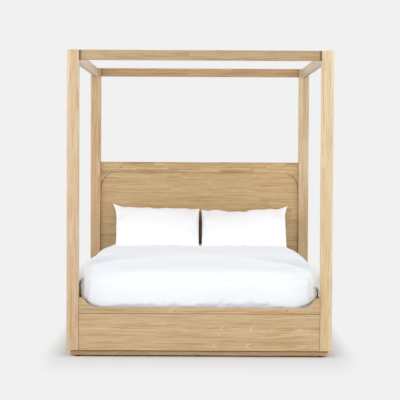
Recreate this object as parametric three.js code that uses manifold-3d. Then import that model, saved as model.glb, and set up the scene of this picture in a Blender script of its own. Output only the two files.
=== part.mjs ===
// Queen-size four-poster canopy bed in natural oak, made up with a duvet and two pillows.
// Millimetres. +X is to the right seen from the foot of the bed, +Y runs from the foot to the
// headboard and +Z is up. The origin is on the floor under the middle of the bed.

import * as THREE from 'three';
import Module from 'manifold-3d';
import { mergeVertices } from 'three/addons/utils/BufferGeometryUtils.js';

const wasm = await Module();
wasm.setup();

// Mattress size, which sets the width and length of the bed
const mattressWidth = 1524;
const mattressLength = 2032;
const mattressHeight = 280;

// Overall height
const bedHeight = 1995;

// Fits and edges shared by all the timber
const seatGap = 0.3;
const jointGap = 0.8;
const easedEdge = 2;
const cutOverrun = 2;
const arcSteps = 8;

// Posts
const postSide = 78;
const postRound = 25;

// Canopy rails
const canopyRailThick = 38;
const canopyRailHeight = 65;

// Heights of the bed box, from the floor
const footShow = 10;
const frameLift = 43;
const boxTop = 321;

// Footboard and side rails
const boxReveal = 5;
const boxThick = 36;
const footboardJointZ = 284;
const footboardEdgeRound = 10;
const footboardEdgeSteps = 3;
const sweepRise = 66;
const sweepAngle = THREE.MathUtils.degToRad(50);
const sweepShoulder = 12;
const sweepUpperRadius = 25;
const sweepLowerRadius = 95;
const sweepUpperSteps = 5;
const sweepLowerSteps = 8;

// Headboard
const headboardTop = 1252;
const headboardThick = 38;
const archGrooveZ = 1170;
const archRadius = 122;
const archTipWidth = 4;
const panelThick = 28;
const panelRecess = 3;

// Plinth
const plinthInset = 26;
const plinthThick = 28;
const shadowLineHeight = 8;
const shadowLineDepth = 5;

// Glide feet
const footRadius = 13;
const footPadHeight = 6;
const footNeckRadius = 8;
const footScrewRadius = 4;
const footScrewLength = 26;
const footScrewClearance = 0.4;
const footFromEnd = 49;
const footSides = 12;

// Slatted base
const slatTop = 280;
const slatThick = 18;
const slatWidth = 90;
const slatCount = 13;
const slatEndMargin = 40;
const slatEndGap = 4;
const ledgerWidth = 36;
const ledgerHeight = 40;
const ledgerEndGap = 30;
const beamWidth = 60;
const beamHeight = 90;
const beamLegSide = 45;
const beamLegSpacing = 800;
const hangerSheet = 3;
const hangerHeight = 70;
const hangerReach = 45;
const bracketSheet = 4;
const bracketRailLeg = 60;
const bracketPostLeg = 34;
const bracketHeight = 100;
const bracketBottom = 115;

// Mattress
const mattressSideGap = 62;
const mattressFootGap = 45;
const mattressHeadGap = 2;
const mattressCornerRound = 60;
const mattressEdgeRound = 55;
const mattressEdgeSteps = 5;

// Duvet
const duvetLoft = 44;
const duvetSideLoft = 33;
const duvetFootLoft = 24;
const duvetSideGap = 2;
const duvetRound = 98;
const duvetHeadRound = 130;
const duvetInnerRound = 50;
const duvetHem = 300;
const duvetHeadSetback = 29;
const duvetCreaseDepth = 9;
const duvetCreaseWidth = 130;
const duvetCreaseFromFoot = 950;
const duvetCreaseArchPower = 2.4;
const duvetPleatDepth = 7;
const duvetPleatsPerCorner = 2;
const duvetFlatColumns = 14;
const duvetFlatRows = 12;
const duvetOverShares = [0.25, 0.5, 0.75, 1, 1.5, 2];
const pillowPressDepth = 16;
const pillowPressLength = 300;

// Pillows
const pillowMargin = 89;
const pillowHalfLength = 215;
const pillowHalfLoft = 85;
const pillowSeam = 2;
const pillowEnds = { power: 4, fullness: 0.75 };
const pillowSides = { power: 2, fullness: 0.7 };
const pillowEdgePinch = 12;
const pillowInnerPinch = 2;
const pillowOuterEar = 30;
const pillowInnerEar = 6;
const pillowEarPower = 10;
const pillowEarLift = 20;
const pillowLean = THREE.MathUtils.degToRad(36);
const pillowGap = 18;
const pillowsOffCentre = 8;
const pillowAboveDuvet = 144;
const pillowFromHeadboard = 193;
const pillowColumns = 24;
const pillowRows = 16;
const pillowDipPlaceShare = -0.42;
const pillowDipWidthShare = 0.65;
const pillows = {
  left: { outward: -1, outerPinch: 12, tuck: 18, rise: 14, dip: 0 },
  right: { outward: 1, outerPinch: 3, tuck: 6, rise: 0, dip: 20 },
};

// Places that follow from the sizes above
const halfWidth = mattressWidth / 2 + mattressSideGap + boxThick + boxReveal;
const headboardSetback = (postSide - headboardThick) / 2;
const bedFoot = boxReveal + boxThick + mattressFootGap;
const bedHead = mattressHeadGap + headboardThick + headboardSetback;
const halfLength = (bedFoot + mattressLength + bedHead) / 2;
const postCentreX = halfWidth - postSide / 2;
const postCentreY = halfLength - postSide / 2;
const insideX = halfWidth - postSide;
const insideY = halfLength - postSide;
const headboardFaceY = postCentreY - headboardThick / 2;
const footboardFrontY = -halfLength + boxReveal;
const footboardBackY = footboardFrontY + boxThick;
const sideRailInnerX = halfWidth - boxReveal - boxThick;
const slatBottom = slatTop - slatThick;
const beamBottom = slatBottom - beamHeight;
const mattressBottom = slatTop + seatGap;
const mattressTop = mattressBottom + mattressHeight;
const mattressHeadY = headboardFaceY - mattressHeadGap;
const mattressFootY = mattressHeadY - mattressLength;
const duvetUnderTop = mattressTop + seatGap;
const duvetTop = duvetUnderTop + duvetLoft;
const pillowHalfWidth = (mattressWidth / 2 - pillowMargin - pillowGap / 2) / 2;
const pillowPlace = pillowHalfWidth + pillowGap / 2;

const bed = new THREE.Group();
bed.name = 'canopy_bed';

// Finishes
const finishes = {
  oak: { color: 0xccb189, roughness: 0.6 },
  pine: { color: 0xdcc79c, roughness: 0.75 },
  steel: { color: 0x8d9094, roughness: 0.45, metalness: 0.9 },
  glide: { color: 0x4a3327, roughness: 0.6 },
  ticking: { color: 0xeeece6, roughness: 0.9 },
  cotton: { color: 0xf6f6f8, roughness: 0.9 },
};

// Add one named piece, placed by its position and its turn about the vertical
function add(name, geometry, finish, position = [0, 0, 0], turn = 0) {
  const mesh = new THREE.Mesh(geometry, new THREE.MeshStandardMaterial(finishes[finish]));
  mesh.name = name;
  mesh.position.set(...position);
  mesh.rotation.z = turn;
  bed.add(mesh);
  return mesh;
}

// Outlines are drawn about their own middle
function chamferedRectangle(width, height, ease) {
  const x = width / 2;
  const y = height / 2;
  const shape = new THREE.Shape();
  shape.moveTo(x, y - ease);
  shape.lineTo(x - ease, y);
  shape.lineTo(ease - x, y);
  shape.lineTo(-x, y - ease);
  shape.lineTo(-x, ease - y);
  shape.lineTo(ease - x, -y);
  shape.lineTo(x - ease, -y);
  shape.lineTo(x, ease - y);
  shape.closePath();
  return shape;
}

// A prism that stands on its outline, with both rims chamfered
function prism(outline, height, ease) {
  const geometry = new THREE.ExtrudeGeometry(outline, {
    depth: height - 2 * ease,
    curveSegments: arcSteps,
    bevelEnabled: true,
    bevelSegments: 1,
    bevelThickness: ease,
    bevelSize: ease,
    bevelOffset: -ease,
  });
  return geometry.translate(0, 0, ease);
}

// A straight piece of timber with all its edges eased, centred across and standing on z = 0
function board(sizeX, sizeY, sizeZ) {
  return prism(chamferedRectangle(sizeX, sizeY, easedEdge), sizeZ, easedEdge);
}

// A plain box, centred across and standing on z = 0
function box(sizeX, sizeY, sizeZ) {
  return new THREE.BoxGeometry(sizeX, sizeY, sizeZ).translate(0, 0, sizeZ / 2);
}

// Turn a prism of an X and Z outline upright, its depth then running from y = 0 towards +Y
function upright(outline, depth, ease) {
  return prism(outline, depth, ease).rotateX(Math.PI / 2).translate(0, depth, 0);
}

// Solids for boolean cuts
function toSolid(geometry) {
  const bare = geometry.index ? geometry.toNonIndexed() : geometry.clone();
  bare.deleteAttribute('normal');
  bare.deleteAttribute('uv');
  const merged = mergeVertices(bare);
  return new wasm.Manifold(new wasm.Mesh({
    numProp: 3,
    vertProperties: new Float32Array(merged.attributes.position.array),
    triVerts: new Uint32Array(merged.index.array),
  }));
}

function toGeometry(solid) {
  const mesh = solid.getMesh();
  const geometry = new THREE.BufferGeometry();
  geometry.setAttribute('position', new THREE.BufferAttribute(mesh.vertProperties, 3));
  geometry.setIndex(new THREE.BufferAttribute(mesh.triVerts, 1));
  geometry.computeVertexNormals();
  return geometry;
}

function cut(geometry, cutters) {
  const solid = cutters.reduce((left, cutter) => left.subtract(toSolid(cutter)), toSolid(geometry));
  return toGeometry(solid);
}

// Bore for a foot's screw, up from the underside of the piece that carries it
function footBore(x, y) {
  const radius = footScrewRadius + footScrewClearance;
  const length = footScrewLength + cutOverrun * 2;
  const bore = new THREE.CylinderGeometry(radius, radius, length, footSides);
  return bore.rotateX(Math.PI / 2).translate(x, y, length / 2 - cutOverrun);
}

// Posts: the corner that points away from the bed is rounded
function postOutline() {
  const half = postSide / 2;
  const shape = new THREE.Shape();
  shape.moveTo(half, easedEdge - half);
  shape.lineTo(half, half - postRound);
  shape.absarc(half - postRound, half - postRound, postRound, 0, Math.PI / 2, false);
  shape.lineTo(easedEdge - half, half);
  shape.lineTo(-half, half - easedEdge);
  shape.lineTo(-half, easedEdge - half);
  shape.lineTo(easedEdge - half, -half);
  shape.lineTo(half - easedEdge, -half);
  shape.closePath();
  return shape;
}

function addPosts() {
  const corners = [
    ['post_rear_right', 1, 1, 0],
    ['post_rear_left', -1, 1, 1],
    ['post_front_left', -1, -1, 2],
    ['post_front_right', 1, -1, 3],
  ];
  for (const [name, sideX, sideY, quarter] of corners) {
    const place = [sideX * postCentreX, sideY * postCentreY, frameLift];
    add(name, prism(postOutline(), bedHeight - frameLift, easedEdge), 'oak', place, quarter * Math.PI / 2);
  }
}

// Canopy: four rails let in between the posts, level with their tops
function addCanopy() {
  const z = bedHeight - canopyRailHeight;
  const across = 2 * (insideX - seatGap);
  const along = 2 * (insideY - seatGap);
  for (const [name, side] of [['canopy_rail_front', -1], ['canopy_rail_rear', 1]]) {
    add(name, board(across, canopyRailThick, canopyRailHeight), 'oak', [0, side * postCentreY, z]);
  }
  for (const [name, side] of [['canopy_rail_left', -1], ['canopy_rail_right', 1]]) {
    add(name, board(canopyRailThick, along, canopyRailHeight), 'oak', [side * postCentreX, 0, z]);
  }
}

// Headboard: a top rail with a rounded arch below it, the panel that fills the arch, and a lower rail
function archOutline(halfSpan, tip, topZ, radius, springZ) {
  const shape = new THREE.Shape();
  const centreX = halfSpan - tip - radius;
  shape.moveTo(-halfSpan, springZ);
  shape.lineTo(-halfSpan + tip, springZ);
  shape.absarc(-centreX, springZ, radius, Math.PI, Math.PI / 2, true);
  shape.absarc(centreX, springZ, radius, Math.PI / 2, 0, true);
  shape.lineTo(halfSpan, springZ);
  shape.lineTo(halfSpan, topZ);
  shape.lineTo(-halfSpan, topZ);
  shape.closePath();
  return shape;
}

function panelOutline(halfSpan, tip, bottomZ, radius, springZ) {
  const shape = new THREE.Shape();
  const centreX = halfSpan - tip - radius - jointGap;
  const shoulderZ = springZ - jointGap;
  shape.moveTo(-halfSpan, bottomZ);
  shape.lineTo(halfSpan, bottomZ);
  shape.lineTo(halfSpan, shoulderZ);
  shape.lineTo(centreX + radius, shoulderZ);
  shape.absarc(centreX, springZ - jointGap, radius, 0, Math.PI / 2, false);
  shape.absarc(-centreX, springZ - jointGap, radius, Math.PI / 2, Math.PI, false);
  shape.lineTo(-halfSpan, shoulderZ);
  shape.closePath();
  return shape;
}

function addHeadboard() {
  const halfSpan = insideX - jointGap;
  const springZ = archGrooveZ - archRadius;
  const arch = archOutline(halfSpan, archTipWidth, headboardTop, archRadius, springZ);
  add('headboard_top_rail', upright(arch, headboardThick, easedEdge), 'oak', [0, headboardFaceY, 0]);

  const panel = panelOutline(halfSpan, archTipWidth, boxTop + seatGap, archRadius, springZ);
  const panelY = headboardFaceY + panelRecess;
  add('headboard_panel', upright(panel, panelThick, easedEdge), 'oak', [0, panelY, 0]);

  const lower = board(2 * halfSpan, headboardThick, boxTop - frameLift);
  add('headboard_lower_rail', lower, 'oak', [0, postCentreY, frameLift]);
}

// Footboard top edge: level in the middle and swept up to a shoulder at each post.
// Each point has its distance from the post, its height and the lean of its normal.
function sweepPoints() {
  const topZ = boxTop + sweepRise;
  const radii = sweepUpperRadius + sweepLowerRadius;
  const straight = (sweepRise - radii * (1 - Math.cos(sweepAngle))) / Math.sin(sweepAngle);
  const run = sweepShoulder + radii * Math.sin(sweepAngle) + straight * Math.cos(sweepAngle);
  const points = [{ out: 0, z: topZ, lean: 0 }];
  for (let step = 0; step <= sweepUpperSteps; step += 1) {
    const lean = sweepAngle * step / sweepUpperSteps;
    const out = sweepShoulder + sweepUpperRadius * Math.sin(lean);
    points.push({ out, z: topZ - sweepUpperRadius * (1 - Math.cos(lean)), lean });
  }
  for (let step = sweepLowerSteps; step >= 0; step -= 1) {
    const lean = sweepAngle * step / sweepLowerSteps;
    const out = run - sweepLowerRadius * Math.sin(lean);
    points.push({ out, z: boxTop + sweepLowerRadius * (1 - Math.cos(lean)), lean });
  }
  return points;
}

// One cross-section of the footboard top rail, its top corners rounded
function topRailSection(x, z, leanX, leanZ) {
  const loop = [[x, footboardFrontY, footboardJointZ], [x, footboardBackY, footboardJointZ]];
  const corners = [];
  for (let step = 0; step <= footboardEdgeSteps; step += 1) {
    const angle = (Math.PI / 2) * step / footboardEdgeSteps;
    const down = footboardEdgeRound * (1 - Math.sin(angle));
    corners.push({ down, inward: footboardEdgeRound * (1 - Math.cos(angle)) });
  }
  for (const { down, inward } of corners) {
    loop.push([x - leanX * down, footboardBackY - inward, z - leanZ * down]);
  }
  for (const { down, inward } of corners.reverse()) {
    loop.push([x - leanX * down, footboardFrontY + inward, z - leanZ * down]);
  }
  return loop;
}

// Closed skin through rings of points, each ring with as many points as the next, with flat ends
function skin(rings) {
  const count = rings[0].length;
  const points = rings.flat();
  const index = [];
  for (let ring = 0; ring + 1 < rings.length; ring += 1) {
    for (let step = 0; step < count; step += 1) {
      const a = ring * count + step;
      const b = ring * count + (step + 1) % count;
      index.push(a, b, b + count, a, b + count, a + count);
    }
  }
  for (let step = 1; step + 1 < count; step += 1) {
    const last = (rings.length - 1) * count;
    index.push(0, step + 1, step, last, last + step, last + step + 1);
  }
  return fromIndex(points, index);
}

function fromIndex(points, index) {
  const geometry = new THREE.BufferGeometry();
  geometry.setAttribute('position', new THREE.Float32BufferAttribute(points.flat(), 3));
  geometry.setIndex(index);
  geometry.computeVertexNormals();
  return geometry;
}

function addFootboard() {
  const halfSpan = insideX - jointGap;
  const left = sweepPoints();
  const sections = left.map(({ out, z, lean }) => (
    topRailSection(out - halfSpan, z, Math.sin(lean), Math.cos(lean))
  ));
  const right = left.map(({ out, z, lean }) => (
    topRailSection(halfSpan - out, z, -Math.sin(lean), Math.cos(lean))
  ));
  sections.push(...right.reverse());
  add('footboard_top_rail', skin(sections), 'oak');

  const panel = board(2 * halfSpan, boxThick, footboardJointZ - seatGap - frameLift);
  add('footboard_panel', panel, 'oak', [0, footboardFrontY + boxThick / 2, frameLift]);
}

// Side rails, with a ledger screwed inside each for the slats
function addSides() {
  const railLength = 2 * (insideY - seatGap);
  const ledgerLength = railLength - 2 * ledgerEndGap;
  for (const [side, sign] of [['left', -1], ['right', 1]]) {
    const rail = board(boxThick, railLength, boxTop - frameLift);
    add(`side_rail_${side}`, rail, 'oak', [sign * (sideRailInnerX + boxThick / 2), 0, frameLift]);
    const ledgerX = sideRailInnerX - seatGap - ledgerWidth / 2;
    const ledgerZ = slatBottom - seatGap - ledgerHeight;
    const ledger = box(ledgerWidth, ledgerLength, ledgerHeight);
    add(`slat_ledger_${side}`, ledger, 'pine', [sign * ledgerX, 0, ledgerZ]);
  }
}

// Plinth: four boards set back under the bed, each with a shadow line along its outer top edge
function plinthBoard(length, boresX) {
  const height = frameLift - seatGap - footShow;
  const half = plinthThick / 2;
  const section = new THREE.Shape();
  section.moveTo(-half, 0);
  section.lineTo(half, 0);
  section.lineTo(half, height);
  section.lineTo(shadowLineDepth - half, height);
  section.lineTo(shadowLineDepth - half, height - shadowLineHeight);
  section.lineTo(-half, height - shadowLineHeight);
  section.closePath();
  const geometry = new THREE.ExtrudeGeometry(section, { depth: length, bevelEnabled: false });
  const alongX = new THREE.Matrix4().makeBasis(
    new THREE.Vector3(0, 1, 0),
    new THREE.Vector3(0, 0, 1),
    new THREE.Vector3(1, 0, 0),
  );
  geometry.translate(0, 0, -length / 2).applyMatrix4(alongX);
  return cut(geometry, boresX.map((x) => footBore(x, 0)));
}

function addPlinth() {
  const outX = halfWidth - plinthInset;
  const outY = halfLength - plinthInset;
  const cornerFootX = outX - footFromEnd;
  const across = () => plinthBoard(2 * outX, [-cornerFootX, 0, cornerFootX]);
  const along = () => plinthBoard(2 * (outY - plinthThick - seatGap), [0]);
  const middleX = outX - plinthThick / 2;
  const middleY = outY - plinthThick / 2;
  add('plinth_front', across(), 'oak', [0, -middleY, footShow]);
  add('plinth_rear', across(), 'oak', [0, middleY, footShow], Math.PI);
  add('plinth_left', along(), 'oak', [-middleX, 0, footShow], -Math.PI / 2);
  add('plinth_right', along(), 'oak', [middleX, 0, footShow], Math.PI / 2);

  for (const [end, sign] of [['front', -1], ['rear', 1]]) {
    addFoot(`glide_foot_${end}_left`, -cornerFootX, sign * middleY);
    addFoot(`glide_foot_${end}_centre`, 0, sign * middleY);
    addFoot(`glide_foot_${end}_right`, cornerFootX, sign * middleY);
  }
  addFoot('glide_foot_side_left', -middleX, 0);
  addFoot('glide_foot_side_right', middleX, 0);
}

// Glide foot: a round pad and its neck on a screw that sits in a bore
function addFoot(name, x, y) {
  const neckTop = footShow - seatGap;
  const profile = [
    [0, 0],
    [footRadius - easedEdge, 0],
    [footRadius, easedEdge],
    [footRadius, footPadHeight],
    [footNeckRadius, footPadHeight],
    [footNeckRadius, neckTop],
    [footScrewRadius, neckTop],
    [footScrewRadius, neckTop + footScrewLength],
    [0, neckTop + footScrewLength],
  ];
  const points = profile.map(([radius, height]) => new THREE.Vector2(radius, height));
  const foot = new THREE.LatheGeometry(points, footSides).rotateX(Math.PI / 2);
  add(name, foot, 'glide', [x, y, 0]);
}

// Centre beam in two steel hangers, on two legs with glide feet of their own
function hanger() {
  const width = beamWidth + 2 * (seatGap + hangerSheet);
  const depth = hangerReach + hangerSheet;
  const block = box(width, depth, hangerHeight).translate(0, depth / 2, 0);
  const pocket = box(beamWidth + 2 * seatGap, depth, hangerHeight);
  return cut(block, [pocket.translate(0, depth / 2 + hangerSheet, hangerSheet)]);
}

function addCentreBeam() {
  const hangerZ = beamBottom - seatGap * 2 - hangerSheet;
  const footHangerY = footboardBackY + seatGap;
  const headHangerY = headboardFaceY - seatGap;
  const beamFootY = footHangerY + hangerSheet + seatGap;
  const beamHeadY = headHangerY - hangerSheet - seatGap;
  const beam = box(beamWidth, beamHeadY - beamFootY, beamHeight - seatGap * 2);
  add('centre_beam', beam, 'pine', [0, (beamHeadY + beamFootY) / 2, beamBottom]);
  add('beam_hanger_foot', hanger(), 'steel', [0, footHangerY, hangerZ]);
  add('beam_hanger_head', hanger(), 'steel', [0, headHangerY, hangerZ], Math.PI);

  for (const [end, sign] of [['front', -1], ['rear', 1]]) {
    const y = sign * beamLegSpacing / 2;
    const leg = cut(box(beamLegSide, beamLegSide, beamBottom - seatGap - footShow), [footBore(0, 0)]);
    add(`beam_leg_${end}`, leg, 'pine', [0, y, footShow]);
    addFoot(`glide_foot_beam_${end}`, 0, y);
  }
}

// Slats, evenly spaced under the mattress
function addSlats() {
  const length = 2 * (sideRailInnerX - slatEndGap);
  const first = mattressFootY + slatEndMargin + slatWidth / 2;
  const last = mattressHeadY - slatEndMargin - slatWidth / 2;
  for (let slat = 0; slat < slatCount; slat += 1) {
    const y = first + (last - first) * slat / (slatCount - 1);
    const name = `slat_${String(slat + 1).padStart(2, '0')}`;
    add(name, box(length, slatWidth, slatThick), 'pine', [0, y, slatBottom]);
  }
}

// Steel angles that tie each side rail to its posts
function addBrackets() {
  const outline = new THREE.Shape();
  outline.moveTo(0, 0);
  outline.lineTo(bracketPostLeg, 0);
  outline.lineTo(bracketPostLeg, bracketSheet);
  outline.lineTo(bracketSheet, bracketSheet);
  outline.lineTo(bracketSheet, bracketRailLeg);
  outline.lineTo(0, bracketRailLeg);
  outline.closePath();
  const mirrored = new THREE.Shape(outline.getPoints().map((point) => new THREE.Vector2(-point.x, point.y)));
  const x = sideRailInnerX - seatGap;
  const y = insideY - seatGap;
  const corners = [
    ['front_left', outline, -x, -y, 0],
    ['front_right', mirrored, x, -y, 0],
    ['rear_left', mirrored, -x, y, Math.PI],
    ['rear_right', outline, x, y, Math.PI],
  ];
  for (const [corner, shape, placeX, placeY, turn] of corners) {
    const angle = new THREE.ExtrudeGeometry(shape, { depth: bracketHeight, bevelEnabled: false });
    add(`corner_bracket_${corner}`, angle, 'steel', [placeX, placeY, bracketBottom], turn);
  }
}

// Mattress: a block with rounded corners and softly rounded rims
function roundedRing(halfX, halfY, radius, z) {
  const ring = [];
  for (const [signX, signY, start] of [[1, 1, 0], [-1, 1, 1], [-1, -1, 2], [1, -1, 3]]) {
    for (let step = 0; step <= mattressEdgeSteps; step += 1) {
      const angle = (start + step / mattressEdgeSteps) * Math.PI / 2;
      const x = signX * (halfX - radius) + radius * Math.cos(angle);
      ring.push([x, signY * (halfY - radius) + radius * Math.sin(angle), z]);
    }
  }
  return ring;
}

function addMattress() {
  const rings = [];
  const ringAt = (angle, z) => {
    const inset = mattressEdgeRound * (1 - Math.cos(angle));
    const radius = mattressCornerRound - inset;
    rings.push(roundedRing(mattressWidth / 2 - inset, mattressLength / 2 - inset, radius, z));
  };
  for (let step = 0; step <= mattressEdgeSteps; step += 1) {
    const angle = (Math.PI / 2) * (1 - step / mattressEdgeSteps);
    ringAt(angle, mattressEdgeRound * (1 - Math.sin(angle)));
  }
  for (let step = 0; step <= mattressEdgeSteps; step += 1) {
    const angle = (Math.PI / 2) * step / mattressEdgeSteps;
    ringAt(angle, mattressHeight - mattressEdgeRound * (1 - Math.sin(angle)));
  }
  const middleY = (mattressHeadY + mattressFootY) / 2;
  add('mattress', skin(rings), 'ticking', [0, middleY, mattressBottom]);
}

// A closed sheet between two grids of points, rows by columns
function sheet(outer, inner) {
  const rows = outer.length;
  const columns = outer[0].length;
  const points = [...outer.flat(), ...inner.flat()];
  const under = rows * columns;
  const at = (row, column) => row * columns + column;
  const index = [];
  for (let row = 0; row + 1 < rows; row += 1) {
    for (let column = 0; column + 1 < columns; column += 1) {
      const a = at(row, column);
      const b = at(row, column + 1);
      const c = at(row + 1, column + 1);
      const d = at(row + 1, column);
      index.push(a, b, c, a, c, d);
      index.push(under + a, under + c, under + b, under + a, under + d, under + c);
    }
  }
  const rim = [];
  for (let column = 0; column + 1 < columns; column += 1) rim.push(at(0, column));
  for (let row = 0; row + 1 < rows; row += 1) rim.push(at(row, columns - 1));
  for (let column = columns - 1; column > 0; column -= 1) rim.push(at(rows - 1, column));
  for (let row = rows - 1; row > 0; row -= 1) rim.push(at(row, 0));
  rim.forEach((a, place) => {
    const b = rim[(place + 1) % rim.length];
    index.push(a, under + a, under + b, a, under + b, b);
  });
  return fromIndex(points, index);
}

// Stations across or along the duvet: flat for a share of the core, then over the edge.
// reach counts from 0 at the edge of the flat, over 1 where the rounding ends, to 2 at the hem.
function duvetColumns() {
  const columns = [];
  for (const reach of [...duvetOverShares].reverse()) columns.push({ flat: -1, reach });
  for (let step = 0; step <= duvetFlatColumns; step += 1) {
    columns.push({ flat: 2 * step / duvetFlatColumns - 1, reach: 0 });
  }
  for (const reach of duvetOverShares) columns.push({ flat: 1, reach });
  return columns;
}

function duvetRows() {
  const rows = [];
  for (const reach of [...duvetOverShares].reverse()) rows.push({ flat: 0, reach });
  for (let step = 0; step <= duvetFlatRows; step += 1) rows.push({ flat: step / duvetFlatRows, reach: 0 });
  return rows;
}

// How far out from the flat and how high the duvet is at a given reach
function duvetDrop(reach, round, top) {
  const angle = Math.min(reach, 1) * Math.PI / 2;
  const fall = Math.max(reach - 1, 0) * (top - round - duvetHem);
  return { out: round * Math.sin(angle), z: top - round * (1 - Math.cos(angle)) - fall };
}

// The soft crease that arches over the bed from one foot corner to the other
function duvetCrease(x, y, halfX, footY) {
  const creaseY = footY + duvetCreaseFromFoot * (1 - Math.abs(x / halfX) ** duvetCreaseArchPower);
  return duvetCreaseDepth * Math.exp(-(((y - creaseY) / duvetCreaseWidth) ** 2));
}

// One face of the duvet. The outer face is formed: it has pleats at the foot corners, the crease
// and a hollow under the pillows, and its edge grows rounder towards the head.
function duvetGrid(halfX, footY, headY, round, headRound, top, formed) {
  const coreY = footY + round;
  const pressStart = headY - pillowPressLength;
  return duvetRows().map((row) => duvetColumns().map((column) => {
    const rowRound = round + (headRound - round) * row.flat;
    const coreX = halfX - rowRound;
    const reach = Math.max(row.reach, column.reach);
    const heading = Math.atan2(row.reach, column.reach);
    const drop = duvetDrop(reach, rowRound, top);
    const pleats = (1 - Math.cos(4 * duvetPleatsPerCorner * heading)) / 2;
    const out = drop.out - (formed ? duvetPleatDepth * pleats * Math.min(reach, 1) : 0);
    const outX = column.reach > 0 ? out * Math.cos(heading) : 0;
    const outY = row.reach > 0 ? out * Math.sin(heading) : 0;
    const x = column.flat * coreX + Math.sign(column.flat) * outX;
    const y = coreY + row.flat * (headY - coreY) - outY;
    if (!formed) return [x, y, drop.z];
    const press = pillowPressDepth * Math.max(y - pressStart, 0) / pillowPressLength;
    const crease = reach === 0 ? duvetCrease(x, y, halfX, footY) : 0;
    return [x, y, drop.z - press * (1 - Math.min(reach, 1)) - crease];
  }));
}

function addDuvet() {
  const headY = mattressHeadY - duvetHeadSetback;
  const innerX = mattressWidth / 2 + duvetSideGap;
  const innerFootY = mattressFootY - duvetSideGap;
  const outerX = innerX + duvetSideLoft;
  const outerFootY = innerFootY - duvetFootLoft;
  const outer = duvetGrid(outerX, outerFootY, headY, duvetRound, duvetHeadRound, duvetTop, true);
  const inner = duvetGrid(innerX, innerFootY, headY, duvetInnerRound, duvetInnerRound, duvetUnderTop, false);
  add('duvet', sheet(outer, inner), 'cotton');
}

// Pillow: crowned faces on a seam, drawn in along its edges and pointed at its corners.
// u runs across it and v up it, each from -1 to 1, and face is 1 on the front and -1 behind.
function crowned(share, { power, fullness }) {
  return (1 - Math.abs(share) ** power) ** fullness;
}

function pillowPoint(u, v, face, { outward, outerPinch, tuck, rise, dip }) {
  const outer = Math.sign(u) === outward;
  const ear = Math.abs(u * v) ** pillowEarPower * (outer ? pillowOuterEar : pillowInnerEar);
  const upper = Math.max(v, 0);
  const pinch = outer ? outerPinch * (1 - v * v) + tuck * Math.max(-v, 0) : pillowInnerPinch * (1 - v * v);
  const across = u * (pillowHalfWidth - pinch) + Math.sign(u) * ear * (v > 0 ? 1 : 0);
  const along = v * (pillowHalfLength - pillowEdgePinch * (1 - u * u)) + Math.sign(v) * ear;
  const loft = face * (pillowSeam + pillowHalfLoft * crowned(u, pillowEnds) * crowned(v, pillowSides));
  const sag = dip * Math.exp(-(((u - pillowDipPlaceShare) / pillowDipWidthShare) ** 2));
  const lift = pillowEarLift * (ear / pillowOuterEar) * upper;
  const slope = rise * (1 + outward * u) / 2;
  return {
    x: across,
    y: along * Math.cos(pillowLean) - loft * Math.sin(pillowLean),
    z: along * Math.sin(pillowLean) + loft * Math.cos(pillowLean) + lift + (slope - sag) * upper,
  };
}

// One face of a pillow, which stands on the duvet and rests against the headboard
function pillowFace(pillow, face) {
  const centreX = pillowsOffCentre + pillow.outward * pillowPlace;
  const centreY = headboardFaceY - pillowFromHeadboard;
  const centreZ = duvetTop + pillowAboveDuvet;
  const back = headboardFaceY - seatGap;
  const bottom = duvetTop + seatGap;
  const grid = [];
  for (let row = 0; row <= pillowRows; row += 1) {
    const line = [];
    for (let column = 0; column <= pillowColumns; column += 1) {
      const u = Math.sin((column / pillowColumns - 0.5) * Math.PI);
      const v = Math.sin((row / pillowRows - 0.5) * Math.PI);
      const { x, y, z } = pillowPoint(u, v, face, pillow);
      line.push([centreX + x, Math.min(centreY + y, back), Math.max(centreZ + z, bottom)]);
    }
    grid.push(line);
  }
  return grid;
}

function addPillows() {
  for (const [side, pillow] of Object.entries(pillows)) {
    add(`pillow_${side}`, sheet(pillowFace(pillow, 1), pillowFace(pillow, -1)), 'cotton');
  }
}

addPosts();
addCanopy();
addHeadboard();
addFootboard();
addSides();
addPlinth();
addCentreBeam();
addSlats();
addBrackets();
addMattress();
addDuvet();
addPillows();

export default bed;
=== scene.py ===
"""Looks of a queen-size four-poster canopy bed in natural oak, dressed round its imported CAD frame.

Metres, in the frame of the CAD model: +X right seen from the foot, +Y towards the headboard, +Z up.
"""

import math
from functools import partialmethod

import bpy
import numpy as np
from mathutils import Matrix, Vector
from mathutils.bvhtree import BVHTree


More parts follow.
